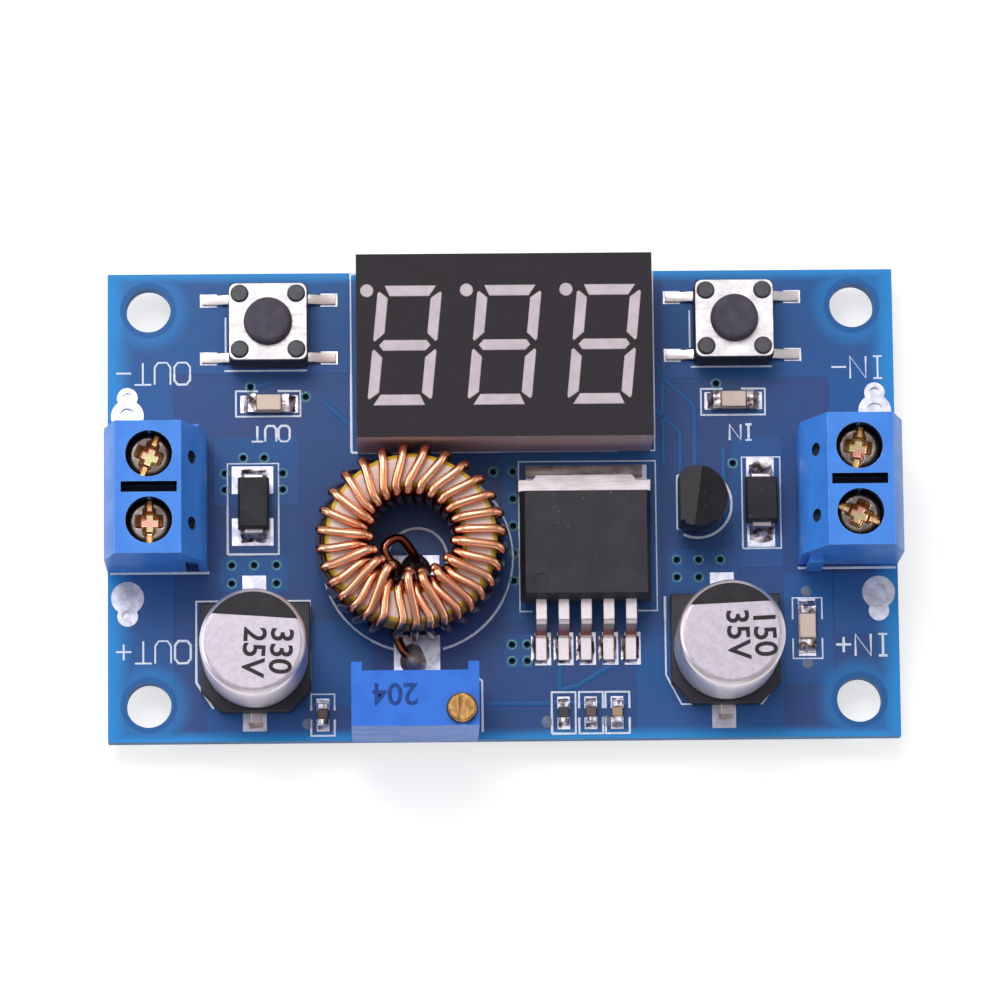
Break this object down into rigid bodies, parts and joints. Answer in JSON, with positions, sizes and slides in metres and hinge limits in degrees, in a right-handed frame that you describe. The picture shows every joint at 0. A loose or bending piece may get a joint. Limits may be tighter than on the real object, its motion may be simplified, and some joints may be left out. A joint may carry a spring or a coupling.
{
  "type": "buck converter module",
  "caption": "Step-down power supply board with screw terminals, a ring inductor, a voltage display, push switches and an adjusting screw.",
  "frame": {"origin": "centre of the four mounting holes, on the underside of the board", "axes": "+X from the output terminals to the input terminals, along the long edge; +Y towards the edge with the display; +Z out of the component side"},
  "size_m": [0.06, 0.0361, 0.0141],
  "materials": {
    "circuit_board": "green-glass laminate under a glossy blue solder mask",
    "tinned_lands": "tinned copper",
    "terminal_plastic": "moulded blue plastic, satin",
    "contact_metal": "tin-plated",
    "guard_metal": "zinc-plated",
    "clamp_screw_metal": "yellow zinc-plated",
    "display_housing": "dark glossy face, satin sides",
    "display_light_bars": "milky diffusing epoxy",
    "display_base_board": "laminate",
    "display_pins": "tinned",
    "switch_base": "moulded black plastic",
    "switch_cover": "pressed steel, satin",
    "switch_button": "moulded black plastic",
    "switch_dome": "sprung steel",
    "switch_leads": "tinned",
    "inductor_core": "yellow enamel with one pale face",
    "inductor_winding": "enamelled copper",
    "regulator_body": "moulded epoxy",
    "regulator_tab": "tinned copper",
    "regulator_leads": "tinned copper",
    "diode_body": "moulded epoxy",
    "diode_terminals": "tinned",
    "small_regulator_body": "moulded epoxy",
    "small_regulator_leads": "tinned",
    "capacitor_can": "drawn, under a clear coat",
    "capacitor_base": "moulded black plastic",
    "capacitor_leads": "tinned",
    "trimmer_housing": "moulded blue plastic",
    "trimmer_screw": "turned",
    "trimmer_seal": "poured epoxy",
    "trimmer_pins": "tinned",
    "indicator_substrates": "laminate",
    "indicator_lenses": "clear yellowish resin",
    "indicator_terminals": "tinned",
    "chip_resistor_bodies": "black glaze over ceramic",
    "chip_capacitor_bodies": "ceramic",
    "chip_end_caps": "tinned",
    "controller_body": "moulded epoxy",
    "controller_leads": "tinned",
    "solder_fillets": "solder",
    "solder_joints": "solder"
  },
  "bodies": {
    "module": {"circuit_board": "circuit_board", "tinned_lands": "tinned_lands", "terminal_housing_out": "terminal_plastic", "terminal_housing_in": "terminal_plastic", "terminal_contacts_out": "contact_metal", "terminal_contacts_in": "contact_metal", "display_housing": "display_housing", "display_light_bars": "display_light_bars", "display_base_board": "display_base_board", "display_pins": "display_pins", "switch_base_left": "switch_base", "switch_cover_left": "switch_cover", "switch_dome_left": "switch_dome", "switch_leads_left": "switch_leads", "switch_base_right": "switch_base", "switch_cover_right": "switch_cover", "switch_dome_right": "switch_dome", "switch_leads_right": "switch_leads", "inductor_core": "inductor_core", "inductor_winding": "inductor_winding", "regulator_body": "regulator_body", "regulator_tab": "regulator_tab", "regulator_leads": "regulator_leads", "diode_left_body": "diode_body", "diode_left_terminals": "diode_terminals", "diode_right_body": "diode_body", "diode_right_terminals": "diode_terminals", "small_regulator_body": "small_regulator_body", "small_regulator_leads": "small_regulator_leads", "capacitor_left_can": "capacitor_can", "capacitor_left_base": "capacitor_base", "capacitor_left_leads": "capacitor_leads", "capacitor_right_can": "capacitor_can", "capacitor_right_base": "capacitor_base", "capacitor_right_leads": "capacitor_leads", "trimmer_housing": "trimmer_housing", "trimmer_seal": "trimmer_seal", "trimmer_pins": "trimmer_pins", "indicator_substrates": "indicator_substrates", "indicator_lenses": "indicator_lenses", "indicator_terminals": "indicator_terminals", "chip_resistor_bodies": "chip_resistor_bodies", "chip_capacitor_bodies": "chip_capacitor_bodies", "chip_end_caps": "chip_end_caps", "controller_body": "controller_body", "controller_leads": "controller_leads", "solder_fillets": "solder_fillets", "solder_joints": "solder_joints"},
    "button_left": {"switch_button_left": "switch_button"},
    "button_right": {"switch_button_right": "switch_button"},
    "guard_out_minus": {"wire_guard_out_minus": "guard_metal"},
    "screw_out_minus": {"clamp_screw_out_minus": "clamp_screw_metal"},
    "guard_out_plus": {"wire_guard_out_plus": "guard_metal"},
    "screw_out_plus": {"clamp_screw_out_plus": "clamp_screw_metal"},
    "guard_in_minus": {"wire_guard_in_minus": "guard_metal"},
    "screw_in_minus": {"clamp_screw_in_minus": "clamp_screw_metal"},
    "guard_in_plus": {"wire_guard_in_plus": "guard_metal"},
    "screw_in_plus": {"clamp_screw_in_plus": "clamp_screw_metal"},
    "trimmer_screw": {"trimmer_screw": "trimmer_screw"}
  },
  "joints": [
    {"name": "button_left_press", "type": "slide", "parent": "module", "child": "button_left", "axis": [0, 0, 1], "range_m": [-0.00025, 0], "stiffness_N_per_m": 4000, "springref_m": 0.0001, "deforming": ["switch_dome_left"]},
    {"name": "button_right_press", "type": "slide", "parent": "module", "child": "button_right", "axis": [0, 0, 1], "range_m": [-0.00025, 0], "stiffness_N_per_m": 4000, "springref_m": 0.0001, "deforming": ["switch_dome_right"]},
    {"name": "guard_out_minus_slide", "type": "slide", "parent": "module", "child": "guard_out_minus", "axis": [0, 0, 1], "range_m": [-0.002, 0]},
    {"name": "screw_out_minus_turn", "type": "hinge", "parent": "guard_out_minus", "child": "screw_out_minus", "pos_m": [-0.0265, 0.00245, 0.0066], "axis": [0, 0, 1], "range_deg": [-1440, 0]},
    {"name": "guard_out_plus_slide", "type": "slide", "parent": "module", "child": "guard_out_plus", "axis": [0, 0, 1], "range_m": [-0.002, 0]},
    {"name": "screw_out_plus_turn", "type": "hinge", "parent": "guard_out_plus", "child": "screw_out_plus", "pos_m": [-0.0265, -0.00255, 0.0066], "axis": [0, 0, 1], "range_deg": [-1440, 0]},
    {"name": "guard_in_minus_slide", "type": "slide", "parent": "module", "child": "guard_in_minus", "axis": [0, 0, 1], "range_m": [-0.002, 0]},
    {"name": "screw_in_minus_turn", "type": "hinge", "parent": "guard_in_minus", "child": "screw_in_minus", "pos_m": [0.0265, 0.00265, 0.0066], "axis": [0, 0, 1], "range_deg": [-1440, 0]},
    {"name": "guard_in_plus_slide", "type": "slide", "parent": "module", "child": "guard_in_plus", "axis": [0, 0, 1], "range_m": [-0.002, 0]},
    {"name": "screw_in_plus_turn", "type": "hinge", "parent": "guard_in_plus", "child": "screw_in_plus", "pos_m": [0.0265, -0.00235, 0.0066], "axis": [0, 0, 1], "range_deg": [-1440, 0]},
    {"name": "trimmer_turn", "type": "hinge", "parent": "module", "child": "trimmer_screw", "pos_m": [-0.00335, -0.01685, 0.0116], "axis": [0, 0, 1], "continuous": true}
  ],
  "couplings": [
    {"joint": "screw_out_minus_turn", "follows": "guard_out_minus_slide", "rad_per_m": 12566},
    {"joint": "screw_out_plus_turn", "follows": "guard_out_plus_slide", "rad_per_m": 12566},
    {"joint": "screw_in_minus_turn", "follows": "guard_in_minus_slide", "rad_per_m": 12566},
    {"joint": "screw_in_plus_turn", "follows": "guard_in_plus_slide", "rad_per_m": 12566}
  ]
}
